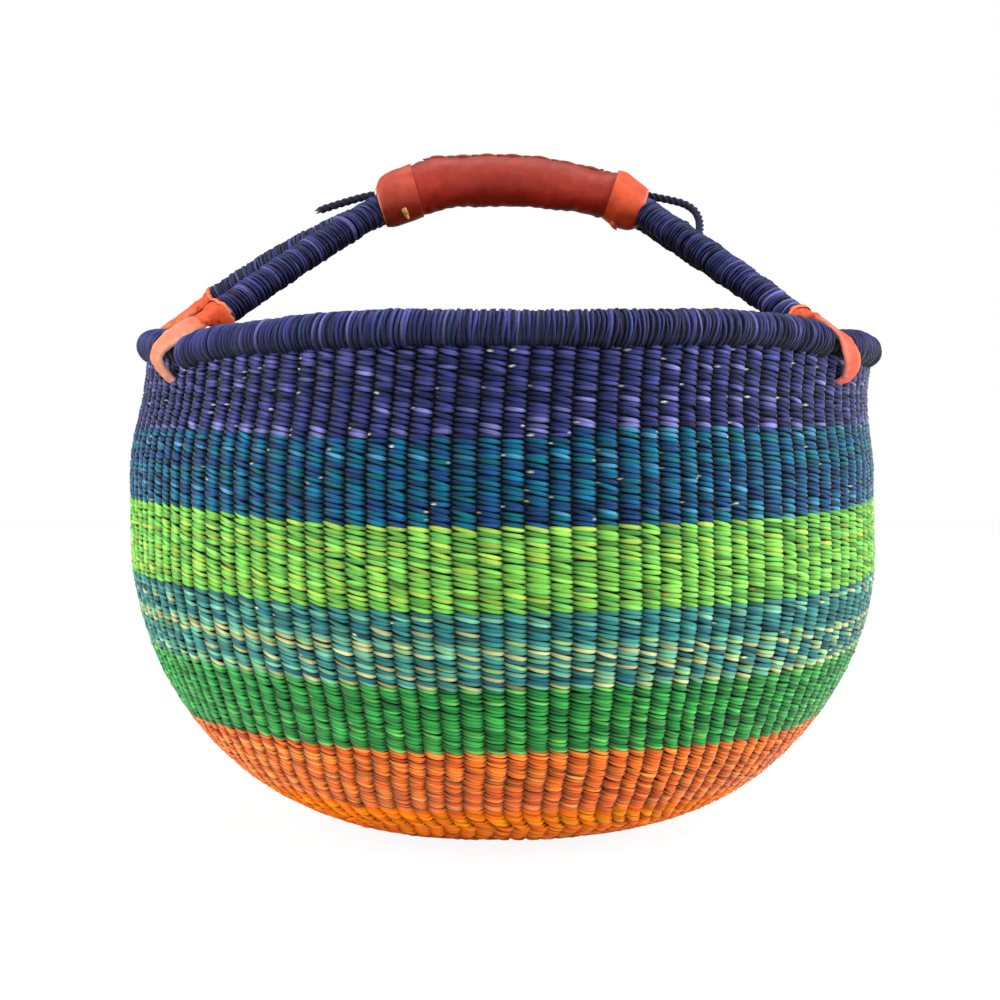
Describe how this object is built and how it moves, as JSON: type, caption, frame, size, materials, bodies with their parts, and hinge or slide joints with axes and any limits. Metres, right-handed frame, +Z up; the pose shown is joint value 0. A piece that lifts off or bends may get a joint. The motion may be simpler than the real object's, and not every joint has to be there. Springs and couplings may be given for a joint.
{
  "type": "bolga basket",
  "caption": "Round bowl basket of twined straw bands with a wrapped rim and a handle of wrapped hoops that meet in one leather grip, held by leather straps.",
  "frame": {"origin": "middle of the base's underside, on the surface that the basket stands on", "axes": "+Z up along the bowl's axis, +X to the right along the grip, -Y towards the front"},
  "size_m": [0.4304, 0.4288, 0.385],
  "materials": {
    "golden_orange_straw": "twined straw dyed golden orange, dry and slightly glossy",
    "rust_straw": "twined straw dyed rust orange",
    "green_straw": "twined straw dyed green",
    "teal_cream_straw": "twined straw, teal, aqua, pale green and cream mixed",
    "lime_straw": "twined straw dyed lime green",
    "blue_teal_straw": "twined straw dyed blue-teal",
    "indigo_straw": "twined straw dyed indigo",
    "indigo_wrap": "turns of straw dyed indigo, wound close",
    "natural_straw": "undyed straw",
    "grip_leather": "reddish-brown goat leather, worn",
    "left_collar_leather": "dull orange goat leather",
    "right_collar_leather": "bright orange goat leather",
    "socket_leather": "orange goat leather, wrinkled where it is drawn over the hoop's end",
    "strap_leather": "pale tan goat leather",
    "rope_straw": "twisted dark indigo straw"
  },
  "bodies": {
    "basket": {"base_disc": "golden_orange_straw", "stake_cage": "natural_straw", "golden_orange_band": "golden_orange_straw", "rust_band": "rust_straw", "green_band": "green_straw", "teal_cream_band": "teal_cream_straw", "lime_band": "lime_straw", "blue_teal_band": "blue_teal_straw", "indigo_band": "indigo_straw", "rim_core": "natural_straw", "rim_wrap": "indigo_wrap", "front_left_strap": "strap_leather", "front_right_strap": "strap_leather", "rear_left_strap": "strap_leather", "rear_right_strap": "strap_leather"},
    "handle": {"front_hoop_core": "natural_straw", "rear_hoop_core": "natural_straw", "front_left_arm_wrap": "indigo_wrap", "front_right_arm_wrap": "indigo_wrap", "rear_left_arm_wrap": "indigo_wrap", "rear_right_arm_wrap": "indigo_wrap", "grip_binding": "natural_straw", "grip_sleeve": "grip_leather", "grip_collar_left": "left_collar_leather", "grip_collar_right": "right_collar_leather", "grip_lacing": "grip_leather", "front_left_socket": "socket_leather", "front_right_socket": "socket_leather", "rear_left_socket": "socket_leather", "rear_right_socket": "socket_leather", "rope_end_left": "rope_straw", "rope_loop_right": "rope_straw"}
  },
  "joints": [
    {"name": "handle_rock", "type": "hinge", "parent": "basket", "child": "handle", "pos_m": [0, -0.017, 0.284], "axis": [1, 0, 0], "range_deg": [-5, 5], "stiffness_Nm_per_rad": 3, "deforming": ["front_left_strap", "front_right_strap", "rear_left_strap", "rear_right_strap"]}
  ]
}
